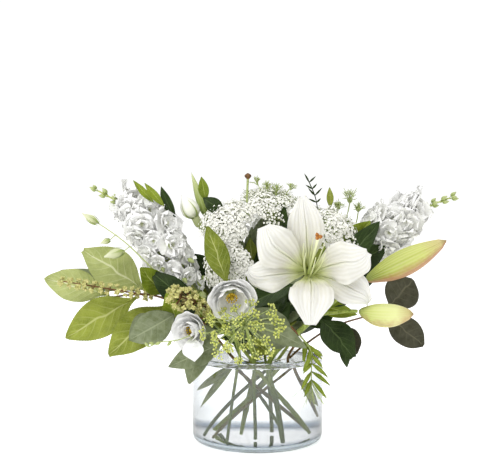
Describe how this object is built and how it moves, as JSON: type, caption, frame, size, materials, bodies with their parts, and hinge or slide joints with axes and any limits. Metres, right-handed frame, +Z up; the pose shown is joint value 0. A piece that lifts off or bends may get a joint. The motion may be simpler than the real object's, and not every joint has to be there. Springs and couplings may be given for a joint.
{
  "type": "mixed white lily bouquet in a low glass cylinder vase",
  "caption": "Loose hand-arranged bouquet of white lily, stock, lisianthus, lace flowers and green foliage standing in a low clear glass cylinder of water",
  "frame": {"origin": "middle of the vase's flat underside, on the surface it stands on", "axes": "+Z up along the vase's axis, -Y towards the bouquet's front, +X to the right seen from the front"},
  "size_m": [0.4776, 0.2465, 0.3111],
  "materials": {
    "clear_glass": "clear pressed soda-lime glass, smooth, fire-polished rim",
    "water": "clear fresh water",
    "lily_petal": "warm white waxy petal, soft sheen, grooved midrib, green at the throat",
    "lily_pistil": "pale yellow-green, moist sheen, rusty brown stigma",
    "lily_bud": "yellow-green closed bud, ribbed, brown tip",
    "white_petal": "cool white soft petal, matte",
    "white_lace": "tiny white florets on pale green rays, matte",
    "green_lace": "tiny yellow-green florets on green rays, matte",
    "flower_bud": "pale green bud and twig, satin",
    "green_stem": "fresh green cut stem, satin",
    "woody_stem": "brown bark, matte",
    "salal_leaf": "yellow-green leathery leaf, satin, pale veins",
    "eucalyptus_leaf": "grey-green leaf with a matte waxy bloom",
    "dark_leaf": "dark green leaf, satin",
    "seeds": "yellow-green seed buds on brown twiglets, matte"
  },
  "bodies": {
    "root": {"eucalyptus_leaf_far": "eucalyptus_leaf", "eucalyptus_leaf_front": "eucalyptus_leaf", "eucalyptus_leaf_left": "eucalyptus_leaf", "eucalyptus_leaf_low": "eucalyptus_leaf", "eucalyptus_leaf_right": "eucalyptus_leaf", "eucalyptus_leaf_silver": "eucalyptus_leaf", "eucalyptus_stem": "woody_stem", "glass_vase": "clear_glass", "green_lace": "green_lace", "lily_bud_lower": "lily_bud", "lily_bud_upper": "lily_bud", "lily_leaf_lower": "dark_leaf", "lily_leaf_right": "dark_leaf", "lily_leaf_upper": "dark_leaf", "lily_petal_bottom": "lily_petal", "lily_petal_left": "lily_petal", "lily_petal_lower_left": "lily_petal", "lily_petal_lower_right": "lily_petal", "lily_petal_right": "lily_petal", "lily_petal_top": "lily_petal", "lily_pistil": "lily_pistil", "lily_stamens": "lily_pistil", "lily_stem": "green_stem", "lisianthus_back_stem": "green_stem", "lisianthus_bloom_back": "white_petal", "lisianthus_bloom_left": "white_petal", "lisianthus_bloom_right": "white_petal", "lisianthus_bud_spray": "flower_bud", "lisianthus_pale_bud": "flower_bud", "lisianthus_stem": "green_stem", "lisianthus_top_bud": "flower_bud", "olive_leaf": "dark_leaf", "salal_leaf_bottom": "salal_leaf", "salal_leaf_bright": "salal_leaf", "salal_leaf_centre": "salal_leaf", "salal_leaf_far": "salal_leaf", "salal_leaf_low": "salal_leaf", "salal_leaf_top": "salal_leaf", "salal_stem": "woody_stem", "seed_cluster": "seeds", "seeded_twig": "seeds", "silver_dollar_leaf_inner": "dark_leaf", "silver_dollar_leaf_lower": "eucalyptus_leaf", "silver_dollar_leaf_upper": "eucalyptus_leaf", "silver_dollar_stem": "woody_stem", "stock_back_florets": "white_petal", "stock_back_stem": "green_stem", "stock_leaf_left": "eucalyptus_leaf", "stock_leaf_right": "eucalyptus_leaf", "stock_left_florets": "white_petal", "stock_left_stem": "green_stem", "stock_right_florets": "white_petal", "stock_right_stem": "green_stem", "trailing_sprig": "flower_bud", "water": "water", "white_lace_back": "white_lace", "white_lace_left": "white_lace", "white_lace_middle": "white_lace", "white_lace_right": "white_lace", "white_lace_top": "white_lace"}
  },
  "joints": []
}
